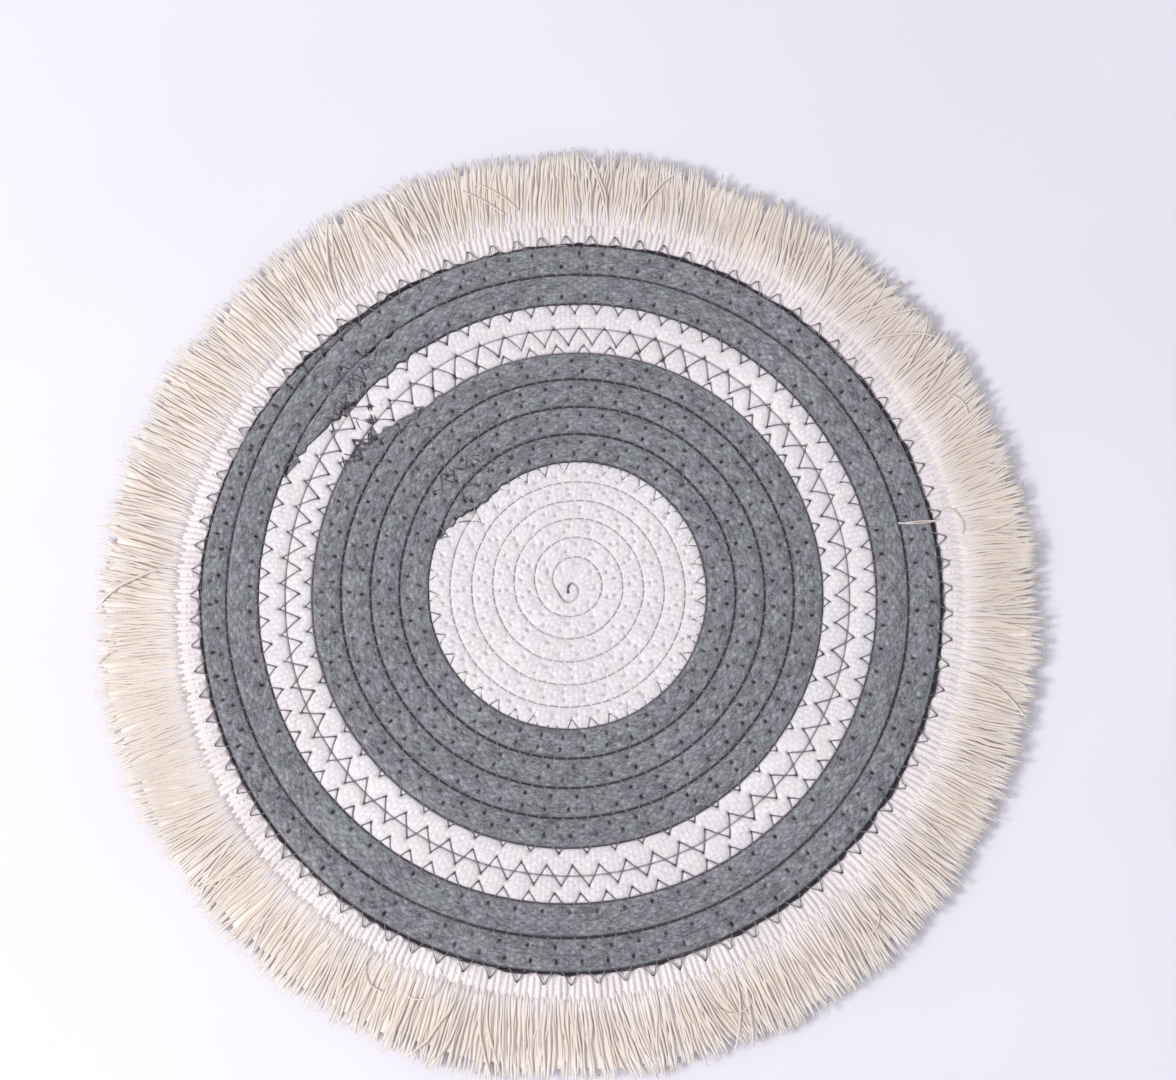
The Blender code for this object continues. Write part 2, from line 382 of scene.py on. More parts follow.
def newGroup(name, inputs, outputs):
    group = bpy.data.node_groups.new(name, "ShaderNodeTree")
    for socketName, kind, value in inputs:
        socket = group.interface.new_socket(socketName, in_out="INPUT", socket_type=kind)
        if value is not None:
            socket.default_value = value
    for socketName, kind in outputs:
        group.interface.new_socket(socketName, in_out="OUTPUT", socket_type=kind)
    tree = {"group": group, "nodes": group.nodes, "links": group.links}
    tree["in"] = group.nodes.new("NodeGroupInput")
    tree["out"] = group.nodes.new("NodeGroupOutput")
    return tree


def plug(tree, value, socket):
    if isinstance(value, bpy.types.NodeSocket):
        tree["links"].new(value, socket)
    else:
        socket.default_value = value


def maths(tree, operation, *values):
    node = tree["nodes"].new("ShaderNodeMath")
    node.operation = operation
    for value, socket in zip(values, node.inputs):
        plug(tree, value, socket)
    return node.outputs[0]


def softLimits(tree, value, low, high, outLow=0.0, outHigh=1.0):
    node = tree["nodes"].new("ShaderNodeMapRange")
    node.interpolation_type = "SMOOTHSTEP"
    for socketName, number in (("Value", value), ("From Min", low), ("From Max", high),
                               ("To Min", outLow), ("To Max", outHigh)):
        plug(tree, number, node.inputs[socketName])
    return node.outputs["Result"]


def noise(tree, vector, scale, detail=2.0, roughness=0.5):
    node = tree["nodes"].new("ShaderNodeTexNoise")
    plug(tree, vector, node.inputs["Vector"])
    plug(tree, scale, node.inputs["Scale"])
    node.inputs["Detail"].default_value = detail
    node.inputs["Roughness"].default_value = roughness
    return node.outputs["Fac"]


def mixColour(tree, factor, first, second, blend="MIX"):
    node = tree["nodes"].new("ShaderNodeMix")
    node.data_type = "RGBA"
    node.blend_type = blend
    plug(tree, factor, node.inputs["Factor"])
    plug(tree, first, node.inputs[6])
    plug(tree, second, node.inputs[7])
    return node.outputs[2]


def parts(tree, vector):
    node = tree["nodes"].new("ShaderNodeSeparateXYZ")
    plug(tree, vector, node.inputs[0])
    return node.outputs


def combine(tree, x, y, z=0.0):
    node = tree["nodes"].new("ShaderNodeCombineXYZ")
    for value, socket in zip((x, y, z), node.inputs):
        plug(tree, value, socket)
    return node.outputs[0]


# The values added up in this order.
def total(tree, first, *others):
    for value in others:
        first = maths(tree, "ADD", first, value)
    return first


# A value that lies around 0.5, moved to lie around 0 and made this wide.
def centred(tree, value, span):
    return maths(tree, "MULTIPLY", maths(tree, "SUBTRACT", value, 0.5), span)


# The colour made lighter or darker by a factor.
def shadeBy(tree, colour, factor):
    return mixColour(tree, 1.0, colour, combine(tree, factor, factor, factor), "MULTIPLY")


def attributeOf(tree, name, output="Vector"):
    node = tree["nodes"].new("ShaderNodeAttribute")
    node.attribute_type = "GEOMETRY"
    node.attribute_name = name
    return node.outputs[output]


def placeGroup(tree, group, **values):
    node = tree["nodes"].new("ShaderNodeGroup")
    node.node_tree = group
    for socketName, value in values.items():
        plug(tree, value, node.inputs[socketName])
    return node.outputs


# Plaited yarns seen along the rope: their rounded height and a tone for each crossing.
def buildBraidGroup():
    tree = newGroup("plaitedYarn", [
        ("Coord", "NodeSocketVector", None),
        ("Length", "NodeSocketFloat", relief["braidLength"]),
        ("Width", "NodeSocketFloat", relief["braidWidth"]),
    ], [("Height", "NodeSocketFloat"), ("Tone", "NodeSocketFloat"), ("Strand", "NodeSocketFloat")])
    x, y = parts(tree, tree["in"].outputs["Coord"])[0:2]
    bend = centred(tree, noise(tree, tree["in"].outputs["Coord"], 260.0), 1.6)
    along = maths(tree, "DIVIDE", x, tree["in"].outputs["Length"])
    around = maths(tree, "DIVIDE", y, tree["in"].outputs["Width"])
    first = total(tree, along, around, bend)
    second = maths(tree, "ADD", maths(tree, "SUBTRACT", along, around), bend)
    domes = []
    for value in (first, second):
        wave = maths(tree, "SINE", maths(tree, "MULTIPLY", value, math.pi))
        domes.append(maths(tree, "ABSOLUTE", wave))
    height = maths(tree, "POWER", maths(tree, "MULTIPLY", domes[0], domes[1]), 0.5)
    cell = combine(tree, maths(tree, "FLOOR", first), maths(tree, "FLOOR", second))
    random = tree["nodes"].new("ShaderNodeTexWhiteNoise")
    random.noise_dimensions = "3D"
    tree["links"].new(cell, random.inputs["Vector"])
    # fine strands along one diagonal or the other, whichever yarn lies on top
    checker = maths(tree, "ADD", maths(tree, "FLOOR", first), maths(tree, "FLOOR", second))
    checker = maths(tree, "ABSOLUTE", maths(tree, "MODULO", checker, 2.0))
    rest = maths(tree, "SUBTRACT", 1.0, checker)
    slant = total(tree, maths(tree, "MULTIPLY", first, checker), maths(tree, "MULTIPLY", second, rest))
    other = total(tree, maths(tree, "MULTIPLY", second, checker), maths(tree, "MULTIPLY", first, rest))
    strand = combine(tree, maths(tree, "MULTIPLY", slant, 3.4), maths(tree, "MULTIPLY", other, 1.1))
    strand = noise(tree, strand, 1.0, 3.0, 0.6)
    tree["links"].new(height, tree["out"].inputs["Height"])
    tree["links"].new(random.outputs["Value"], tree["out"].inputs["Tone"])
    tree["links"].new(strand, tree["out"].inputs["Strand"])
    return tree["group"]


# Needle holes of one zigzag, where shade is painted in: 1 in the hole, 0 a little way off.
def buildNeedleGroup():
    tree = newGroup("needleHoles", [
        ("Seam", "NodeSocketVector", None),
        ("Period", "NodeSocketFloat", 8.0 * mm),
        ("Reach", "NodeSocketFloat", 2.8 * mm),
        ("Radius", "NodeSocketFloat", 0.5 * mm),
    ], [("Hole", "NodeSocketFloat")])
    phase, zig, weight = parts(tree, tree["in"].outputs["Seam"])[0:3]
    distances = []
    for shift, row in ((0.0, 1.0), (zigzag["fallShare"], -1.0)):
        nearest = maths(tree, "SUBTRACT", phase, shift)
        nearest = maths(tree, "SUBTRACT", nearest, maths(tree, "ROUND", nearest))
        along = maths(tree, "MULTIPLY", nearest, tree["in"].outputs["Period"])
        out = maths(tree, "MULTIPLY", maths(tree, "SUBTRACT", zig, row), tree["in"].outputs["Reach"])
        out = maths(tree, "MULTIPLY", out, 0.7)
        distances.append(maths(tree, "SQRT", maths(tree, "ADD", maths(tree, "MULTIPLY", along, along),
                                                     maths(tree, "MULTIPLY", out, out))))
    distance = maths(tree, "MINIMUM", distances[0], distances[1])
    outer = maths(tree, "MULTIPLY", tree["in"].outputs["Radius"], 1.7)
    inner = maths(tree, "MULTIPLY", tree["in"].outputs["Radius"], 0.5)
    hole = softLimits(tree, distance, inner, outer, 1.0, 0.0)
    each = noise(tree, combine(tree, maths(tree, "MULTIPLY", phase, 1.7), zig), 1.0, 1.0)
    hole = maths(tree, "MULTIPLY", hole, softLimits(tree, each, 0.35, 0.6, 0.45, 1.0))
    tree["links"].new(maths(tree, "MULTIPLY", hole, weight), tree["out"].inputs["Hole"])
    return tree["group"]


# Fine cotton fibres and slow blotches, in metres of the object's own space.
def buildFuzzGroup():
    tree = newGroup("cottonFuzz", [
        ("Coord", "NodeSocketVector", None),
        ("Fibre", "NodeSocketFloat", 0.22 * mm),
        ("Blotch", "NodeSocketFloat", 9.0 * mm),
    ], [("Fibre", "NodeSocketFloat"), ("Blotch", "NodeSocketFloat")])
    coord = tree["in"].outputs["Coord"]
    fibre = noise(tree, coord, maths(tree, "DIVIDE", 1.0, tree["in"].outputs["Fibre"]), 4.0, 0.65)
    blotch = noise(tree, coord, maths(tree, "DIVIDE", 1.0, tree["in"].outputs["Blotch"]), 2.0, 0.5)
    tree["links"].new(fibre, tree["out"].inputs["Fibre"])
    tree["links"].new(blotch, tree["out"].inputs["Blotch"])
    return tree["group"]


# Scene-linear colour from the usual 0 to 255 values.
def sRgb(red, green, blue):
    def linear(value):
        value = value / 255.0
        return value / 12.92 if value <= 0.04045 else ((value + 0.055) / 1.055) ** 2.4
    return (linear(red), linear(green), linear(blue), 1.0)


def newMaterial(name, roughness, sheen, specular=0.25):
    material = bpy.data.materials.new(name)
    material.use_nodes = True
    tree = {"nodes": material.node_tree.nodes, "links": material.node_tree.links}
    shader = tree["nodes"]["Principled BSDF"]
    shader.inputs["Roughness"].default_value = roughness
    shader.inputs["Sheen Weight"].default_value = sheen
    shader.inputs["Sheen Roughness"].default_value = 0.5
    shader.inputs["Specular IOR Level"].default_value = specular
    tree["shader"] = shader
    return material, tree


def addBump(tree, height, strength, distance):
    bump = tree["nodes"].new("ShaderNodeBump")
    bump.inputs["Strength"].default_value = strength
    bump.inputs["Distance"].default_value = distance
    tree["links"].new(height, bump.inputs["Height"])
    tree["links"].new(bump.outputs["Normal"], tree["shader"].inputs["Normal"])


def objectCoord(tree):
    return tree["nodes"].new("ShaderNodeTexCoord").outputs["Object"]


groups = {"braid": buildBraidGroup(), "needle": buildNeedleGroup(), "fuzz": buildFuzzGroup()}

# Each look also holds colours of painted shade: between the plaited yarns, in the grooves along the seams
# and in the needle holes.
ropeLooks = {
    "white": {
        "base": sRgb(252, 246, 249), "gapShadeColour": sRgb(228, 217, 222), "warm": sRgb(252, 244, 244),
        "cool": sRgb(250, 246, 252), "hole": sRgb(128, 118, 126), "seam": sRgb(210, 197, 203),
        "toneSpan": 0.06, "strandSpan": 0.36, "gapShade": 0.16, "holeRadius": 0.36 * mm, "grooveShadeStart": 0.88,
        "bumpDepth": 0.2 * mm,
    },
    "grey": {
        "base": sRgb(151, 151, 157), "gapShadeColour": sRgb(90, 88, 96), "warm": sRgb(149, 145, 158),
        "cool": sRgb(148, 154, 154), "hole": sRgb(40, 38, 46), "seam": sRgb(52, 50, 60),
        "toneSpan": 0.54, "strandSpan": 3.7, "gapShade": 0.4, "holeRadius": 0.48 * mm, "grooveShadeStart": 0.84,
        "bumpDepth": 0.30 * mm,
    },
}


def ropeMaterial(name, look, holeShadeShare=1.0):
    material, tree = newMaterial(name, roughness=0.92, sheen=0.25)
    coord = attributeOf(tree, "ropeCoord")
    across = parts(tree, coord)[2]
    braid = placeGroup(tree, groups["braid"], Coord=coord)
    fuzz = placeGroup(tree, groups["fuzz"], Coord=objectCoord(tree), Fibre=0.5 * mm)
    colour = mixColour(tree, softLimits(tree, fuzz["Blotch"], 0.38, 0.62), look["warm"], look["cool"])
    colour = mixColour(tree, 0.5, colour, look["base"])
    # painted shade between the yarns, and a different tone on each
    tone = centred(tree, braid["Tone"], look["toneSpan"])
    strand = centred(tree, braid["Strand"], look["strandSpan"])
    fibre = centred(tree, fuzz["Fibre"], look["strandSpan"] * 0.7)
    colour = shadeBy(tree, colour, total(tree, tone, strand, fibre, 1.0))
    # painted shade in the dips between the plaited yarns
    gapShade = softLimits(tree, braid["Height"], 0.1, 0.6, look["gapShade"], 0.0)
    colour = mixColour(tree, gapShade, colour, look["gapShadeColour"])
    # painted shade in the groove along each side seam, mixed towards the look's seam colour
    grooveShade = softLimits(tree, maths(tree, "ABSOLUTE", across), look["grooveShadeStart"], 0.985)
    colour = mixColour(tree, grooveShade, colour, look["seam"])
    # painted shade in the needle holes along both seams, in the look's hole colour
    for side in ("innerSeam", "outerSeam"):
        needle = placeGroup(tree, groups["needle"], Seam=attributeOf(tree, side), Radius=look["holeRadius"])
        hole = maths(tree, "MULTIPLY", needle["Hole"], holeShadeShare)
        colour = mixColour(tree, hole, colour, look["hole"])
    tree["links"].new(colour, tree["shader"].inputs["Base Color"])
    shares = ((braid["Height"], 0.6), (fuzz["Fibre"], 0.5), (braid["Strand"], 0.4))
    height = total(tree, *(maths(tree, "MULTIPLY", value, share) for value, share in shares))
    addBump(tree, height, 0.8, look["bumpDepth"])
    rough = softLimits(tree, fuzz["Fibre"], 0.3, 0.7, 0.84, 0.98)
    tree["links"].new(rough, tree["shader"].inputs["Roughness"])
    return material


# Twisted sewing thread, with painted shade where it dives into its needle holes.
def threadMaterial(name, colour, diveShadeColour, greyColour, sheen=0.1):
    material, tree = newMaterial(name, roughness=0.75, sheen=sheen)
    share = attributeOf(tree, "threadShare", "Fac")
    # painted shade near both ends of each leg, where the thread dives into the needle holes
    ends = softLimits(tree, maths(tree, "ABSOLUTE", maths(tree, "SUBTRACT", share, 0.5)), 0.30, 0.48)
    fuzz = placeGroup(tree, groups["fuzz"], Coord=objectCoord(tree), Fibre=0.3 * mm)
    mixed = mixColour(tree, attributeOf(tree, "overGrey", "Fac"), colour, greyColour)
    mixed = mixColour(tree, ends, mixed, diveShadeColour)
    mixed = shadeBy(tree, mixed, softLimits(tree, fuzz["Fibre"], 0.3, 0.7, 0.85, 1.15))
    tree["links"].new(mixed, tree["shader"].inputs["Base Color"])
    addBump(tree, fuzz["Fibre"], 0.5, 0.1 * mm)
    return material


# Soft twisted yarn: colours at its root, middle and tip, a tint for each strand, and a fine twist.
def yarnMaterial(name, colours, twist=0.9 * mm, shadeSpan=0.16, sheen=0.35, rootEnds=0.45, streaks=0.0):
    material, tree = newMaterial(name, roughness=0.93, sheen=sheen)
    # share of the way to the tip, metres along, tint
    share, along, tint = parts(tree, attributeOf(tree, "yarnCoord"))[0:3]
    outward = softLimits(tree, share, 0.1 * rootEnds, rootEnds)
    colour = mixColour(tree, outward, colours["root"], colours["middle"])
    colour = mixColour(tree, softLimits(tree, share, 0.68, 0.98), colour, colours["tip"])
    colour = mixColour(tree, softLimits(tree, tint, 0.55, 1.0, 0.0, 0.65), colour, colours["warm"])
    fuzz = placeGroup(tree, groups["fuzz"], Coord=objectCoord(tree), Fibre=0.35 * mm, Blotch=14.0 * mm)
    shades = [
        centred(tree, fuzz["Fibre"], shadeSpan * 1.6),
        centred(tree, tint, shadeSpan),
        centred(tree, fuzz["Blotch"], 0.2),
    ]
    if streaks:
        streak = noise(tree, attributeOf(tree, "streakCoord"), 1.0, 3.0, 0.6)
        shades.append(centred(tree, streak, streaks * 2.5))
    colour = shadeBy(tree, colour, total(tree, *shades, 1.0))
    tree["links"].new(colour, tree["shader"].inputs["Base Color"])
    wave = maths(tree, "SINE", maths(tree, "MULTIPLY", along, 2.0 * math.pi / twist))
    height = maths(tree, "ADD", maths(tree, "MULTIPLY", wave, 0.25), fuzz["Fibre"])
    addBump(tree, height, 0.6, 0.15 * mm)
    return material


# Shares across (-1 to 1) and up (0 to 1), even steps over the top and then back underneath.
def sectionOutline(seamUp):
    outline = []
    for count, exponent, sign in ((section["topPoints"], section["topExponent"], 1.0),
                                  (section["bottomPoints"] + 2, section["bottomExponent"], -1.0)):
        angle = np.linspace(math.pi, 0.0, 400)
        across = np.sign(np.cos(angle)) * np.abs(np.cos(angle)) ** (2.0 / exponent) * sign
        reach = 1.0 - seamUp if sign > 0.0 else -seamUp
        up = seamUp + reach * np.abs(np.sin(angle)) ** (2.0 / exponent)
        length = np.concatenate([[0.0], np.cumsum(np.hypot(np.diff(across) * 0.7, np.diff(up)))])
        even = np.linspace(0.0, length[-1], count)
        points = np.stack([np.interp(even, length, across), np.interp(even, length, up)], -1)
        outline.append(points if sign > 0.0 else points[1:-1])
    return np.concatenate(outline)


# Turn values from start to end, about step apart, and the metres along the rope at each.
def evenTurns(start, end, step):
    dense = np.linspace(start, end, 8000)
    radius = (seamRadius(dense) + seamRadius(dense + 1.0)) / 2.0
    length = np.concatenate([[0.0], np.cumsum(2.0 * math.pi * radius[1:] * np.diff(dense))])
    count = int(length[-1] / step)
    even = np.linspace(0.0, length[-1], count)
    return np.interp(even, length, dense), even


# How fully the spiral seam is sewn at this turn: its stitches start a little way out from the middle.
def sewnShare(turn):
    return between(turn, (zigzag["firstTurn"], zigzag["firstTurn"] + 0.1))


# Either side of one rope: distance outward of the seam there, its stitches, and how fully it is sewn.
def ropeSeams(index, turn, radius):
    each = turn + 0.0 * radius
    innerSide = (radius - seamLine(turn), seamStitch(each), sewnShare(each))
    if index == len(ropes) - 1:
        return innerSide, (radius - edgeRadius(turn), edgeStitch(each), sewnShare(each + 1.0))
    return innerSide, (radius - seamLine(turn + 1.0), seamStitch(each + 1.0), sewnShare(each + 1.0))


# Plaited yarns and soft lumps, as metres outward from the rope's plain section.
def plaitSwell(index, along, around, across):
    loose = 0.35 * softNoise(along / (4.3 * mm), 35 + index)
    first = along / relief["braidLength"] + around / relief["braidWidth"] + loose
    second = along / relief["braidLength"] - around / relief["braidWidth"] + loose
    plait = np.sqrt(np.abs(np.sin(math.pi * first) * np.sin(math.pi * second)))
    lumps = softNoise(along / (3.1 * mm) + np.round(across * 2.0) * 37.0, 30 + index)
    return relief["braidDepth"] * ropes[index]["braid"] * (plait - 0.5) + relief["lumpDepth"] * lumps


def makeRope(index, material):
    rope = ropes[index]
    isLast = index == len(ropes) - 1
    start = coil["startTurn"] if index == 0 else spliceTurn(index - 1) - coil["spliceHalfArc"]
    end = coil["endCutTurn"] if isLast else spliceTurn(index) + coil["spliceHalfArc"]
    turn, along = evenTurns(start, end, section["stationStep"])
    turn, along = turn[:, None], along[:, None]
    inner, outer = ropeEdges(index, turn)
    width = outer - inner
    outline = sectionOutline(rope["seamUp"])
    across, up = outline[None, :, 0], outline[None, :, 1]
    radius = (inner + outer) / 2.0 + across * width / 2.0
    # a narrow end is lower than the rope beside it
    height = rope["height"] * (0.62 + 0.38 * smoothStep(width / (5.0 * mm)))
    height = height * (1.0 + 0.02 * softNoise(along / (14.0 * mm), 20 + index))
    seams = ropeSeams(index, turn, radius)
    dents = sum(stitchDents(lateral, stitch, rope["puff"]) * sewn for lateral, stitch, sewn in seams)
    around = np.cumsum(np.hypot(np.diff(across, axis=1, prepend=across[:, :1]) * width / 2.0,
                                np.diff(up, axis=1, prepend=up[:, :1]) * height), axis=1)
    full = smoothStep(width / (6.0 * mm))
    swell = plaitSwell(index, along, around, across)
    lift = (swell - dents) * full
    topShare = smoothStep((up - rope["seamUp"] * 0.8) / (0.2 * rope["seamUp"]))
    bottomShare = smoothStep((0.25 - up) / 0.25)
    z = up * height + lift * topShare - lift * bottomShare * 0.6
    z = np.maximum(z, 0.02 * mm)
    # sideways part of the plait, on the flanks
    radius = radius + np.sign(across) * smoothStep((np.abs(across) - 0.8) / 0.2) * swell * 0.4 * full
    points = polar(turn, radius, z)
    fields = {"ropeCoord": np.stack(np.broadcast_arrays(along, around, across), -1).reshape(-1, 3)}
    for side, (lateral, stitch, sewn) in zip(("innerSeam", "outerSeam"), seams):
        phase, reach, aside = stitch[:3]
        fields[side] = np.stack([phase, (lateral - aside) / reach, sewn * topShare], -1).reshape(-1, 3)
    faces = tubeFaces(np.arange(points.size // 3).reshape(1, *points.shape[:2]))
    piece = makePiece(rope["piece"], points.reshape(-1, 3), faces, material, fields)
    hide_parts(rope["node"])
    return piece


# Value of the rope that lies at this turn.
def laneValue(lane, key):
    ends = np.cumsum([rope["turns"] for rope in ropes])[:-1]
    return np.array([rope[key] for rope in ropes])[np.searchsorted(ends, lane, side="right")]


# Height of a rope's rounded top at this radius, where it lies between two seams.
def laneTop(lane, radius, inner, outer):
    share = (radius - (inner + outer) / 2.0) / ((outer - inner) / 2.0)
    return ropeHeight(lane) * domeHeight(share, laneValue(lane, "seamUp"))


# Top of the coil at this distance outward of the seam at this turn, before any stitch presses it in.
def surfaceHeight(turn, lateral):
    seam = seamLine(turn)
    inside = lateral < 0.0
    inner = np.where(inside, seamLine(turn - 1.0), seam)
    outer = np.where(inside, seam, seamLine(turn + 1.0))
    return laneTop(np.where(inside, turn - 1.0, turn), seam + lateral, inner, outer)


# Phases of the outer and inner needle points, in sewing order.
def needlePhases(whole):
    return np.stack([whole, whole + zigzag["fallShare"]], -1).ravel()


# Values along straight legs from each point to the next.
def alongLegs(values, share):
    return values[:-1, None] + np.diff(values)[:, None] * share


# Legs between needle points: turn, swing from one needle row to the other and back, and share of the leg.
def zigzagLegs(turns, legPoints):
    share = np.linspace(0.0, 1.0, legPoints)[None, :]
    odd = (np.arange(len(turns) - 1) % 2)[:, None]
    swing = np.where(odd == 0, 1.0 - 2.0 * share, -1.0 + 2.0 * share)
    return alongLegs(turns, share), swing, share


# Thread paths between needle points of the spiral seams from turn first to turn last.
def stitchLegs(first, last, heightOf, legPoints=8):
    low, high = np.interp([first, last], phaseTurns, phaseTable)
    phases = needlePhases(np.arange(math.ceil(low), math.floor(high)))
    turn, swing, share = zigzagLegs(np.interp(phases, phaseTable, phaseTurns), legPoints)
    lateral = runAside(turn) + runValue(turn, "reach") * swing
    return polar(turn, seamLine(turn) + lateral, heightOf(turn, lateral, share))


# 1 at the ends of a leg, where the thread goes through, fading to 0 along it.
def needleShare(share, reach):
    fromNeedle = np.minimum(share, 1.0 - share) * zigzag["legReaches"] * reach
    return np.exp(-(fromNeedle / zigzag["dipLength"]) ** 2)


def topThreadHeight(turn, lateral, share):
    bridge = ropeHeight(turn) - zigzag["bridgeDrop"]
    lane = np.where(lateral < 0.0, turn - 1.0, turn)
    height = np.maximum(surfaceHeight(turn, lateral), bridge) - relief["troughDepth"]
    height = height - relief["puffDepth"] * 0.75 * laneValue(lane, "puff") - laneValue(lane, "sink")
    dip = zigzag["needleDip"] * needleShare(share, runValue(turn, "reach"))
    return height + zigzag["threadSink"] - dip


def underThreadHeight(turn, lateral, share):
    return zigzag["underHeight"] + zigzag["underRise"] * needleShare(share, runValue(turn, "reach"))


# 1 where a thread point lies over a grey rope.
def greyBelow(paths):
    radius = np.hypot(paths[..., 0], paths[..., 1])
    phase = (math.radians(coil["zeroDegrees"]) - np.arctan2(paths[..., 1], paths[..., 0])) / (2.0 * math.pi)
    phase = phase - np.floor(phase)
    grey = np.zeros(radius.shape)
    for first, last in greyLaps:
        inside = (radius > seamLine(first + phase)) & (radius < seamLine(last + phase))
        grey = np.maximum(grey, inside * 1.0)
    return grey


def makeThreadPiece(name, paths, radius, sides, material):
    points, faces = sweepTubes(paths, radius, sides)
    share = np.repeat(pathShare(paths).ravel(), sides)
    grey = np.repeat(greyBelow(paths).ravel(), sides)
    piece = makePiece(name, points, faces, material, {"threadShare": share, "overGrey": grey})
    return piece


# Back-and-forth stitches where one rope gives way to the next, in degrees and metres from the middle.
spliceTacks = [
    {"degrees": 129.0, "radius": 98.5 * mm, "reach": 3.2 * mm, "length": 22 * mm, "passes": 3},
    {"degrees": 133.5, "radius": 104.0 * mm, "reach": 2.0 * mm, "length": 24 * mm, "passes": 1},
    {"degrees": 138.0, "radius": 94.5 * mm, "reach": 2.4 * mm, "length": 16 * mm, "passes": 3},
    {"degrees": 136.0, "radius": 86.5 * mm, "reach": 3.2 * mm, "length": 12 * mm, "passes": 3},
    {"degrees": 143.5, "radius": 81.5 * mm, "reach": 2.6 * mm, "length": 15 * mm, "passes": 3},
    {"degrees": 123.0, "radius": 47.0 * mm, "reach": 2.6 * mm, "length": 24 * mm, "passes": 2},
    {"degrees": 131.0, "radius": 53.0 * mm, "reach": 2.6 * mm, "length": 22 * mm, "passes": 2},
]
tackLook = {
    "step": 2.9 * mm,                # along the seam from one needle point to the next
    "stepJitter": 1.0 * mm,
    "rowJitter": 0.6 * mm,           # how far one pass lies from the next
    "bridgeDrop": 0.6 * mm,
    "sink": 0.22 * mm,
    "dip": 0.8 * mm,                 # at the needle points
    "dipShare": 0.08,
}


# Height of the coil's top at a direction (as a phase of a turn) and radius.
def coilTop(phase, radius):
    top = np.zeros(np.broadcast(phase, radius).shape)
    for lap in range(totalTurns):
        inner, outer = seamLine(lap + phase), seamLine(lap + phase + 1.0)
        height = laneTop(lap + phase + 0.0 * radius, radius, inner, outer)
        top = np.where((radius >= inner) & (radius < outer), height, top)
    return top


def makeTacks(material):
    random = np.random.default_rng(77)
    share = np.linspace(0.0, 1.0, 7)[None, :]
    paths = []
    for tack in spliceTacks:
        for k in range(tack["passes"]):
            count = int(tack["length"] / tackLook["step"]) + 1
            along = (np.arange(count) - count / 2.0 + random.uniform(-0.5, 0.5)) * tackLook["step"]
            along = along + random.normal(0.0, tackLook["stepJitter"], count)
            side = np.where((np.arange(count) + k) % 2 == 0, 1.0, -1.0)
            out = tack["radius"] + side * tack["reach"] * random.uniform(0.4, 1.25, count)
            out = out + random.normal(0.0, tackLook["rowJitter"])
            angle = math.radians(tack["degrees"]) + along / tack["radius"]
            phase = (math.radians(coil["zeroDegrees"]) - angle) / (2.0 * math.pi)
            legPhase, legOut = alongLegs(phase, share), alongLegs(out, share)
            top = coilTop(legPhase - np.floor(legPhase), legOut)
            top = np.maximum(top, top.max(axis=1, keepdims=True) - tackLook["bridgeDrop"])
            dip = tackLook["dip"] * np.exp(-(np.minimum(share, 1.0 - share) / tackLook["dipShare"]) ** 2)
            paths.append(polar(legPhase, legOut, top - tackLook["sink"] - dip))
    radius = zigzag["threadRadius"]
    return makeThreadPiece("spliceTacks", np.concatenate(paths), radius, 5, material)


# Thread over the closed outer edge, from rope to heading and back.
def edgeLegs(heightOf, legPoints=10):
    turns = needlePhases(np.arange(zigzag["edgeCount"])) / zigzag["edgeCount"]
    turn, swing, share = zigzagLegs(np.append(turns, 1.0), legPoints)
    lateral = zigzag["edgeAside"] + zigzag["edgeReach"] * swing
    return polar(turn, edgeRadius(turn) + lateral, heightOf(turn, lateral, share))


# Down from the rope's rounded shoulder onto the heading.
def edgeThreadHeight(turn, lateral, share):
    onRope = ropes[-1]["height"] * domeHeight(1.0 + lateral / (5.1 * mm)) - ropes[-1]["sink"] - 0.6 * mm
    height = np.where(lateral < 0.0, onRope, heading["height"] + 0.35 * mm)
    shoulder = smoothStep((lateral + 1.6 * mm) / (2.6 * mm))
    ramp = (ropes[-1]["height"] - 1.1 * mm) * (1.0 - shoulder) + (heading["height"] + 0.3 * mm) * shoulder
    return np.maximum(height, ramp) - zigzag["needleDip"] * needleShare(share, zigzag["edgeReach"])


heading = {
    "loops": 190,
    "nose": 1.15 * mm,               # from the rope's edge to the loop's nose
    "loopHalf": 0.92 * mm,           # half the distance between its two legs
    "yarnRadius": 0.84 * mm,
    "legEnd": 9.6 * mm,
    "height": 5.0 * mm,              # top of the loops
    "jitter": 0.16 * mm,
    "squeeze": 0.05,                 # how much the loops differ in width
    "heightJitter": 0.10 * mm,
    "noseDrop": (0.3 * mm, 1.6 * mm),            # depth, and over what length
    "legDropStart": 5.5 * mm,        # from here out the legs sink and thin
    "legDrop": (0.7 * mm, 4.0 * mm),
    "legThin": (0.3, 3.5 * mm),      # share of the yarn's radius, and over what length
    "binderRows": (3.4 * mm, 5.0 * mm),
    "binderRadius": 0.62 * mm,
    "binderDrop": 1.0 * mm,          # below the top of the loops
    "edgeLine": 0.45 * mm,           # the dark thread packed between rope and loops, its dark colour partly painted shade of that ditch
    "edgeLineWander": 0.45 * mm,
    "edgeLineHeight": 4.9 * mm,
    "edgeLineRadius": (0.34 * mm, 0.34 * mm),    # average, and how much it swells and thins
}

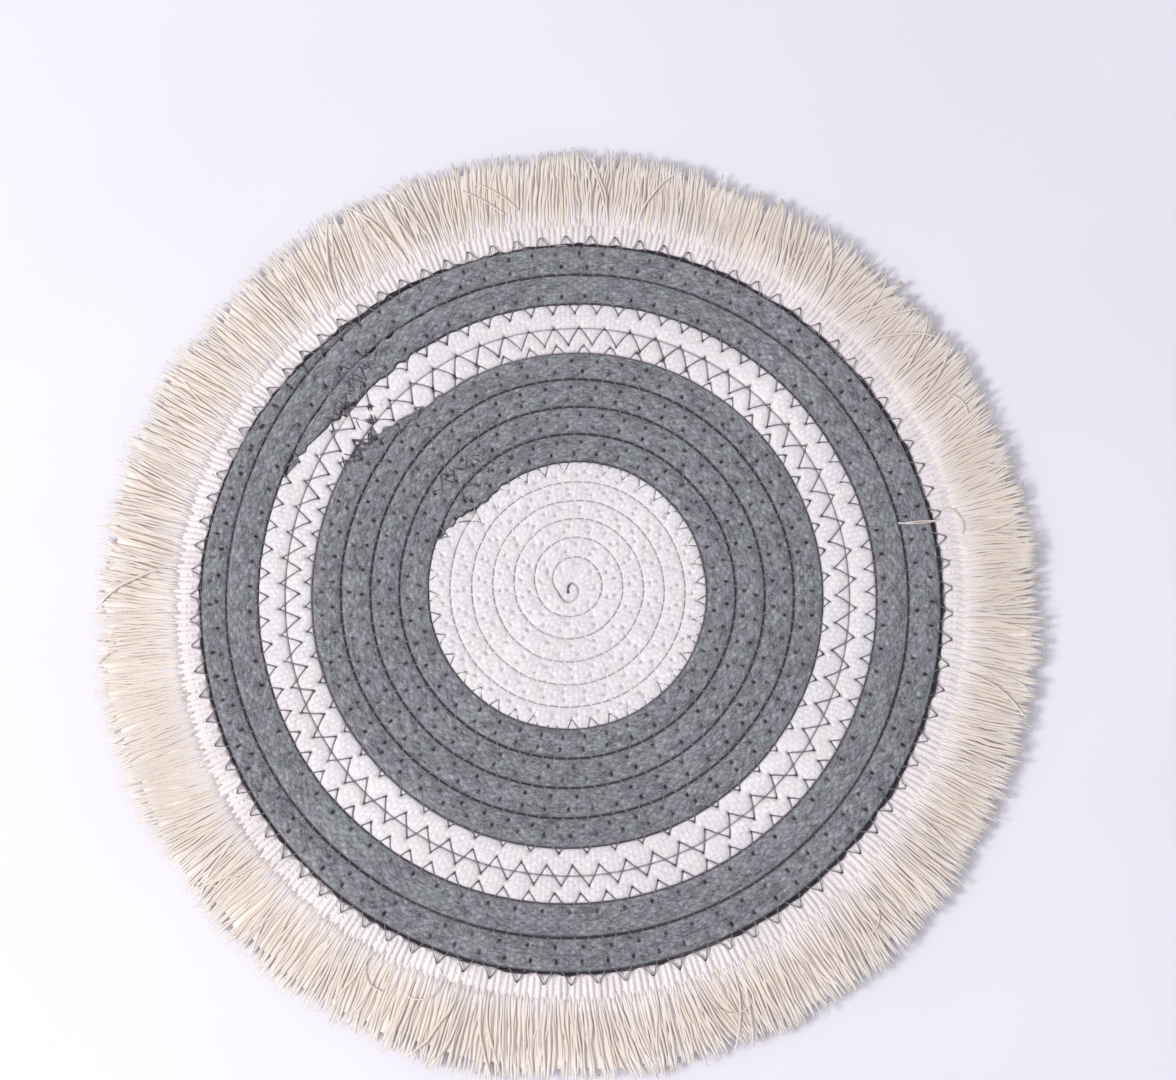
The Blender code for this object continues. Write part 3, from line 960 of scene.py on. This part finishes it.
fringe = {
    "strandsUpper": 1900,
    "strandsLower": 1300,
    "points": 9,
    "root": 6.6 * mm,                # from the rope's edge to where the yarn leaves the heading
    "yarnRadius": 0.5 * mm,
    "flatness": 0.55,
    "tipRadius": 148.8 * mm,
    "tipRagged": 1.2 * mm,
    "tipTop": 151.5 * mm,
    "rootHeight": 4.35 * mm,
    "tipHeight": 3.9 * mm,
    "clumpWaves": (31, 67, 141),     # bunches round the mat, coarse to fine
    "clumpReach": (5.5 * mm, 3.2 * mm, 1.3 * mm),
    "lean": 3.0 * mm,
    "crossing": 0.05,                # share of the strands that lie across the others
    "crossingReach": 6.0 * mm,
    "ripple": (0.1 * mm, 0.45 * mm),             # least and most a strand snakes
    "rippleLength": (10.0 * mm, 24.0 * mm),
    "lowerDrop": (0.95 * mm, 0.8 * mm),          # lower layer under the upper, and more of it by the tips
    "lowerShort": 1.5 * mm,          # its tips stop this much sooner
    "stripTip": 145.5 * mm,          # where the flat strip between the layers ends
    "stripDrop": 0.2 * mm,
    "stripThickness": 0.6 * mm,
    "looseRadius": 0.24 * mm,
    "looseStart": 125.0 * mm,        # from here out a loose end sinks with the fringe
    "looseLift": 0.7 * mm,
}


# One piece of the trim's yarn; coords has share to the tip, metres along and tint for each path point.
def makeYarnPiece(name, paths, radii, sides, coords, material, flatness=1.0):
    points, faces = sweepTubes(paths, radii, sides, flatness)
    coord = np.repeat(np.stack(np.broadcast_arrays(*coords), -1).reshape(-1, 3), sides, axis=0)
    piece = makePiece(name, points, faces, material, {"yarnCoord": coord})
    return piece


# Yarn loops side by side, noses against the rope.
def makeHeading(material):
    count, halfTurn = heading["loops"], 9
    random = np.random.default_rng(41)
    turn0 = (np.arange(count) + 0.5) / count
    edge = edgeRadius(turn0)
    arc = np.linspace(-math.pi / 2.0, math.pi / 2.0, halfTurn)
    legs = 5
    legOut = np.linspace(heading["legEnd"], heading["nose"] + heading["loopHalf"], legs + 1)[:-1]
    side = np.concatenate([np.full(legs, -1.0), np.sin(arc), np.full(legs, 1.0)]) * heading["loopHalf"]
    out = np.concatenate([legOut, heading["nose"] + heading["loopHalf"] * (1.0 - np.cos(arc)), legOut[::-1]])
    noseJitter = random.normal(0.0, heading["jitter"], (count, 1))
    slant = random.normal(0.0, heading["jitter"], (count, 1))
    squeeze = 1.0 + random.normal(0.0, heading["squeeze"], (count, 1))
    near = np.clip(1.0 - (out[None] - heading["nose"]) / heading["legEnd"], 0.0, 1.0)
    radial = edge[:, None] + out[None] + noseJitter * near
    sideways = side[None] * squeeze + slant * near
    z = heading["height"] - heading["yarnRadius"] + random.normal(0.0, heading["heightJitter"], (count, 1))
    depth, reach = heading["noseDrop"]
    z = z - depth * np.clip(1.0 - (out[None] - heading["nose"]) / reach, 0.0, 1.0)
    depth, reach = heading["legDrop"]
    z = z - depth * smoothStep((out[None] - heading["legDropStart"]) / reach)
    turn = turn0[:, None] + sideways / (2.0 * math.pi * radial)
    paths = polar(turn, radial, z)
    thinning, reach = heading["legThin"]
    swell = 1.0 - thinning * np.clip((out[None] - heading["legDropStart"]) / reach, 0.0, 1.0)
    length = np.cumsum(np.linalg.norm(np.diff(paths, axis=1, prepend=paths[:, :1]), axis=2), axis=1)
    coords = (0.0, length, random.uniform(0.0, 0.5, (count, 1)))
    return makeYarnPiece("fringeHeading", paths, heading["yarnRadius"] * swell, 8, coords, material)


# Dark thread packed into the ditch between the coil's edge and the loops; its near-black colour is partly
# painted shade of the ditch.
def makeEdgeLine(material):
    turn = np.arange(721) / 720.0
    radius = edgeRadius(turn) + heading["edgeLine"]
    radius = radius + heading["edgeLineWander"] * softNoise(turn * 300.0, 64, 300)
    z = heading["edgeLineHeight"] + 0.25 * mm * softNoise(turn * 260.0, 65, 260)
    average, swing = heading["edgeLineRadius"]
    thick = average + swing * softNoise(turn * 180.0, 66, 180)
    points, faces = sweepTubes(polar(turn, radius, z)[None], thick[None], 6)
    share = np.full(len(points), 0.5)
    fields = {"threadShare": share, "overGrey": share * 0.0}
    piece = makePiece("edgeThreadWithDitchShade", points, faces, material, fields)
    return piece


# Thin threads that run round the heading, over and under its legs.
def makeBinder(material):
    count = heading["loops"] * 4
    turn = np.arange(count + 1) / count
    paths = []
    for row, offset in enumerate(heading["binderRows"]):
        weave = np.cos(2.0 * math.pi * turn * heading["loops"] + row * math.pi)
        radius = edgeRadius(turn) + offset + 0.1 * mm * softNoise(turn * heading["loops"], 60 + row)
        z = heading["height"] - heading["binderDrop"] + 0.1 * mm * weave
        paths.append(polar(turn, radius, z))
    coords = (np.zeros((len(paths), 1)), turn * 0.75, 0.0)
    return makeYarnPiece("headingBinder", np.stack(paths), heading["binderRadius"], 5, coords, material)


# Sideways metres of the yarn at this place round the mat, growing towards the tips.
def fringeSway(turn, share):
    sway = 0.0
    for k, (waves, reach) in enumerate(zip(fringe["clumpWaves"], fringe["clumpReach"])):
        sway = sway + reach * softNoise(turn * waves, 70 + k, waves) * share ** (1.3 + 0.2 * k)
    lean = fringe["lean"] * (0.6 + 1.0 * softNoise(turn * 7.0, 80, 7))
    return sway + lean * share


# Loose ends: angle round the mat and lean in degrees, curl in radians, the rest in metres.
looseEnds = [
    {"angle": 9.3, "out": 106.7 * mm, "length": 12 * mm, "lean": -18.0, "curl": 0.35, "height": 6.7 * mm},
    {"angle": 9.0, "out": 109.0 * mm, "length": 10 * mm, "lean": -2.0, "curl": -0.2, "height": 6.9 * mm},
    {"angle": 22.0, "out": 141.0 * mm, "length": 15 * mm, "lean": 70.0, "curl": 2.3, "height": 3.0 * mm},
    {"angle": -52.0, "out": 140.0 * mm, "length": 16 * mm, "lean": 80.0, "curl": 2.6, "height": 3.0 * mm},
    {"angle": -69.0, "out": 138.0 * mm, "length": 14 * mm, "lean": -60.0, "curl": -2.2, "height": 3.2 * mm},
    {"angle": -114.0, "out": 133.0 * mm, "length": 18 * mm, "lean": 75.0, "curl": 2.8, "height": 3.6 * mm},
    {"angle": -117.0, "out": 135.0 * mm, "length": 15 * mm, "lean": -80.0, "curl": -2.4, "height": 3.6 * mm},
    {"angle": 6.0, "out": 126.0 * mm, "length": 16 * mm, "lean": 65.0, "curl": 2.6, "height": 5.2 * mm},
    {"angle": 185.0, "out": 143.0 * mm, "length": 7 * mm, "lean": 15.0, "curl": 0.6, "height": 2.0 * mm},
    {"angle": 184.0, "out": 143.0 * mm, "length": 7 * mm, "lean": -5.0, "curl": -0.4, "height": 2.0 * mm},
    {"angle": 95.0, "out": 130.0 * mm, "length": 17 * mm, "lean": 35.0, "curl": 0.5, "height": 4.6 * mm},
    {"angle": 97.0, "out": 129.0 * mm, "length": 17 * mm, "lean": 42.0, "curl": 0.3, "height": 4.6 * mm},
]


def makeLooseEnds(material):
    share = np.linspace(0.0, 1.0, 15)
    paths = []
    for loose in looseEnds:
        angle = math.radians(loose["angle"])
        course = angle + math.radians(loose["lean"]) + loose["curl"] * share[:-1]
        step = loose["length"] / (len(share) - 1)
        x = loose["out"] * math.cos(angle) + np.append(0.0, np.cumsum(np.cos(course))) * step
        y = loose["out"] * math.sin(angle) + np.append(0.0, np.cumsum(np.sin(course))) * step
        reach = (np.hypot(x, y) - fringe["looseStart"]) / (fringe["tipRadius"] - fringe["looseStart"])
        settled = fringeHeight(np.clip(reach, 0.0, 1.0)) + fringe["looseLift"]
        z = np.maximum(settled, loose["height"]) + 0.2 * mm * np.sin(math.pi * share)
        paths.append(np.stack([x, y, z], -1))
    coords = (np.zeros((len(paths), 1)) + share, share * 12.0 * mm, 0.0)
    radii = fringe["looseRadius"] * (1.0 - 0.3 * share)
    return makeYarnPiece("looseEnds", np.stack(paths), radii, 6, coords, material)


# Height of the yarn's middle between heading and tips: it drops a little on the way out.
def fringeHeight(share):
    drop = smoothStep(share * 1.15)
    return fringe["rootHeight"] * (1.0 - drop) + fringe["tipHeight"] * drop


def makeStrands(name, count, layer, seed, material):
    random = np.random.default_rng(seed)
    turn0 = (np.arange(count) + random.uniform(-0.4, 0.4, count)) / count
    turn0 = np.mod(turn0, 1.0)[:, None]
    share = np.linspace(0.0, 1.0, fringe["points"])[None, :]
    edge = edgeRadius(turn0)
    root = edge + fringe["root"] + random.uniform(-0.8, 1.2, (count, 1)) * mm
    bunch = softNoise(turn0 * 45.0, 90, 45) * 1.0 * mm + softNoise(turn0 * 150.0, 91, 150) * 0.7 * mm
    tip = fringe["tipRadius"] + bunch + random.normal(0.0, fringe["tipRagged"], (count, 1))
    tip = np.minimum(tip, fringe["tipTop"]) - layer * fringe["lowerShort"]
    radius = root + (tip - root) * share
    sway = fringeSway(turn0, share)
    wave = random.uniform(*fringe["ripple"], (count, 1))
    waveLength = random.uniform(*fringe["rippleLength"], (count, 1))
    wavePhase = random.uniform(0.0, 2.0 * math.pi, (count, 1))
    ripple = np.sin((radius - root) * 2.0 * math.pi / waveLength + wavePhase)
    sway = sway + wave * ripple * smoothStep(share * 3.0)
    across = random.normal(0.0, fringe["crossingReach"], (count, 1))
    across = across * (random.uniform(0.0, 1.0, (count, 1)) < fringe["crossing"])
    sway = sway + (random.normal(0.0, 0.8 * mm, (count, 1)) + across * share) * share
    turn = turn0 + sway / (2.0 * math.pi * radius)
    lift = random.uniform(-0.2, 0.4, (count, 1)) * mm * np.sin(math.pi * np.minimum(share * 1.1, 1.0))
    z = fringeHeight(share) - layer * (fringe["lowerDrop"][0] + fringe["lowerDrop"][1] * share) + lift
    z = z - (1.0 - layer) * 0.5 * mm * (1.0 - smoothStep(share / 0.13))
    z = z + np.abs(across) * 0.08 * np.sin(math.pi * share)
    z = z + 0.35 * mm * softNoise(turn0 * 110.0, 95, 110) * smoothStep(share * 2.0)
    z = np.maximum(z, 0.45 * mm)
    paths = polar(turn, radius, z)
    thick = fringe["yarnRadius"] * random.uniform(0.85, 1.15, (count, 1))
    thick = thick * (1.0 - 0.35 * smoothStep((share - 0.75) / 0.25))
    coords = (share, radius - root + wavePhase * mm, random.uniform(0.0, 1.0, (count, 1)))
    return makeYarnPiece(name, paths, thick, 4, coords, material, fringe["flatness"])


# The trim's own flat strip of yarn, laid round the coil under the loops and strands.
def makeGround(material):
    columns, steps = 720, 10
    turn = (np.arange(columns) / columns)[:, None]
    share = np.linspace(0.0, 1.0, steps)[None, :]
    edge = edgeRadius(turn) + 0.5 * mm
    ragged = fringe["stripTip"] + 1.3 * mm * softNoise(turn * 60.0, 101, 60)
    ragged = ragged + 1.0 * mm * softNoise(turn * 240.0, 102, 240)
    radius = edge + (ragged - edge) * share
    ridge = 0.14 * mm * np.cos(turn * 2.0 * math.pi * 240.0) * smoothStep(share * 4.0)
    strandShare = (radius - edge - fringe["root"]) / (fringe["tipRadius"] - edge - fringe["root"])
    upper = fringeHeight(np.clip(strandShare, 0.0, 1.0)) - fringe["stripDrop"] - 0.15 * mm * share + ridge
    upper = upper + 0.3 * mm * (1.0 - smoothStep(strandShare * 6.0 + 1.0))
    sway = fringeSway(turn, share)
    place = turn + sway / (2.0 * math.pi * radius)
    top = polar(place, radius, upper)
    bottom = polar(place, radius, upper - fringe["stripThickness"])
    points = np.concatenate([top.reshape(-1, 3), bottom.reshape(-1, 3)])
    index = np.arange(2 * columns * steps).reshape(2, columns, steps)
    high, low = index[0], index[1]
    nextHigh, nextLow = np.roll(high, -1, axis=0), np.roll(low, -1, axis=0)
    quads = [
        np.stack([high[:, :-1], nextHigh[:, :-1], nextHigh[:, 1:], high[:, 1:]], -1).reshape(-1, 4),
        np.stack([low[:, :-1], low[:, 1:], nextLow[:, 1:], nextLow[:, :-1]], -1).reshape(-1, 4),
        np.stack([high[:, -1], nextHigh[:, -1], nextLow[:, -1], low[:, -1]], -1),
        np.stack([high[:, 0], low[:, 0], nextLow[:, 0], nextHigh[:, 0]], -1),
    ]
    coord = np.stack(np.broadcast_arrays(share, radius, 0.7 + 0.0 * turn), -1).reshape(-1, 3)
    # streaks about 0.8 mm wide and 9 mm long, on a strip 850 mm round its middle
    around, outward = turn * 850.0 * mm / (0.8 * mm), radius / (9.0 * mm)
    streak = np.stack(np.broadcast_arrays(around, outward, 0.0 * share), -1).reshape(-1, 3)
    fields = {"yarnCoord": np.concatenate([coord, coord]), "streakCoord": np.concatenate([streak, streak])}
    piece = makePiece("fringeGround", points, quads, material, fields)
    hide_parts("fringe_trim")
    return piece


stageLook = {
    "floor": sRgb(234, 232, 240),
    "floorSize": 6.0,
    "world": (0.93, 0.94, 1.0, 1.0),
    "worldStrength": 0.69,
    "keyPlace": (-1.0, -0.35, 1.05),
    "keySize": 0.5,
    "keyEnergy": 14.5,
    "keyColour": (1.0, 0.985, 0.96),
    "cameraPlace": (0.0, -0.139, 0.639),
    "cameraTarget": (0.007, 0.0177, 0.0),
    "lens": 63.06,
}


# Puts a light or camera in place, looking at the target.
def aimAt(placed, place, target):
    placed.location = place
    placed.rotation_euler = (Vector(target) - Vector(place)).to_track_quat("-Z", "Y").to_euler()


def makeFloor():
    half = stageLook["floorSize"] / 2.0
    mesh = bpy.data.meshes.new("floor")
    corners = [(-half, -half, 0.0), (half, -half, 0.0), (half, half, 0.0), (-half, half, 0.0)]
    mesh.from_pydata(corners, [], [(0, 1, 2, 3)])
    material, tree = newMaterial("paleTable", roughness=0.7, sheen=0.0)
    cloud = noise(tree, objectCoord(tree), 9.0, 2.0)
    colour = shadeBy(tree, stageLook["floor"], softLimits(tree, cloud, 0.3, 0.7, 0.985, 1.015))
    tree["links"].new(colour, tree["shader"].inputs["Base Color"])
    mesh.materials.append(material)
    newObject("floor", mesh)


def makeLights():
    world = bpy.data.worlds.new("studio")
    bpy.context.scene.world = world
    world.use_nodes = True
    background = world.node_tree.nodes["Background"]
    background.inputs["Color"].default_value = stageLook["world"]
    background.inputs["Strength"].default_value = stageLook["worldStrength"]
    light = bpy.data.lights.new("key", "AREA")
    light.shape = "DISK"
    light.size = stageLook["keySize"]
    light.energy = stageLook["keyEnergy"]
    light.color = stageLook["keyColour"]
    aimAt(newObject("key", light), stageLook["keyPlace"], (0.0, 0.0, 0.0))


def makeCamera():
    camera = bpy.data.cameras.new("camera")
    camera.lens = stageLook["lens"]
    camera.sensor_width = 36.0
    camera.clip_start = 0.01
    view = newObject("camera", camera)
    aimAt(view, stageLook["cameraPlace"], stageLook["cameraTarget"])
    bpy.context.scene.camera = view


# A yarn of one colour from root to tip, with a warmer tint on some.
def plainYarn(colour, warm):
    return {"root": colour, "middle": colour, "tip": colour, "warm": warm}


bpy.context.scene.view_settings.view_transform = "Standard"
makeFloor()
makeLights()
makeCamera()
print("stage ready")

materials = {
    "centre": ropeMaterial("whiteCentreCotton", ropeLooks["white"], holeShadeShare=0.38),
    "white": ropeMaterial("whiteBandCotton", ropeLooks["white"], holeShadeShare=0.85),
    "grey": ropeMaterial("greyCotton", ropeLooks["grey"]),
    "greyThread": threadMaterial(
        "greySewingThread", sRgb(132, 124, 132), sRgb(66, 58, 66), sRgb(126, 125, 132)),
    "whiteThread": threadMaterial(
        "whiteSewingThread", sRgb(244, 236, 240), sRgb(206, 196, 202), sRgb(150, 148, 152)),
    "tack": threadMaterial("tackThread", sRgb(92, 84, 94), sRgb(60, 52, 60), sRgb(84, 80, 90)),
    "heading": yarnMaterial("headingYarn", plainYarn(sRgb(239, 232, 234), sRgb(236, 227, 228))),
    # near-black: the thread's own colour together with painted shade of the ditch it lies in
    "edgeLine": threadMaterial("threadWithDitchShade", sRgb(52, 46, 53), sRgb(52, 46, 53), sRgb(52, 46, 53)),
    "fringe": yarnMaterial("fringeYarn", {
        "root": sRgb(238, 229, 229), "middle": sRgb(232, 219, 210), "tip": sRgb(239, 231, 227),
        "warm": sRgb(225, 209, 192)}, shadeSpan=0.08),
    # the ground's root colour is a little darker: painted shade between the heading's loops above it
    "ground": yarnMaterial("groundYarn", {
        "root": sRgb(234, 224, 227), "middle": sRgb(243, 231, 223), "tip": sRgb(243, 234, 228),
        "warm": sRgb(233, 218, 203)}, twist=1.6 * mm, rootEnds=0.34, streaks=0.22),
    "binder": yarnMaterial("binderThread", plainYarn(sRgb(238, 228, 230), sRgb(238, 228, 230))),
}
print("materials ready")

ropeMaterials = (materials["centre"], materials["grey"], materials["white"], materials["grey"])
for index, ropeFinish in enumerate(ropeMaterials):
    makeRope(index, ropeFinish)
print("ropes coiled")

thread = zigzag["threadRadius"]
firstTurn, lastTurn, colourTurn = zigzag["firstTurn"], zigzag["lastTurn"], zigzag["colourTurn"]
whiteLegs = stitchLegs(firstTurn, colourTurn, topThreadHeight)
greyLegs = stitchLegs(colourTurn, lastTurn, topThreadHeight)
underLegs = stitchLegs(firstTurn, lastTurn, underThreadHeight, 4)
makeThreadPiece("whiteZigzag", whiteLegs, thread, 5, materials["whiteThread"])
makeThreadPiece("greyZigzag", greyLegs, thread, 5, materials["greyThread"])
makeThreadPiece("edgeZigzag", edgeLegs(edgeThreadHeight), zigzag["edgeThreadRadius"], 5,
                materials["greyThread"])
makeThreadPiece("underZigzag", underLegs, thread, 4, materials["whiteThread"])
makeTacks(materials["tack"])
print("seams sewn")

makeEdgeLine(materials["edgeLine"])
trimPieces = [
    makeHeading(materials["heading"]),
    makeBinder(materials["binder"]),
    makeStrands("fringeUpper", fringe["strandsUpper"], 0.0, 201, materials["fringe"]),
    makeStrands("fringeLower", fringe["strandsLower"], 1.0, 202, materials["fringe"]),
    makeLooseEnds(materials["fringe"]),
]
ground = makeGround(materials["ground"])
print("trim sewn on")
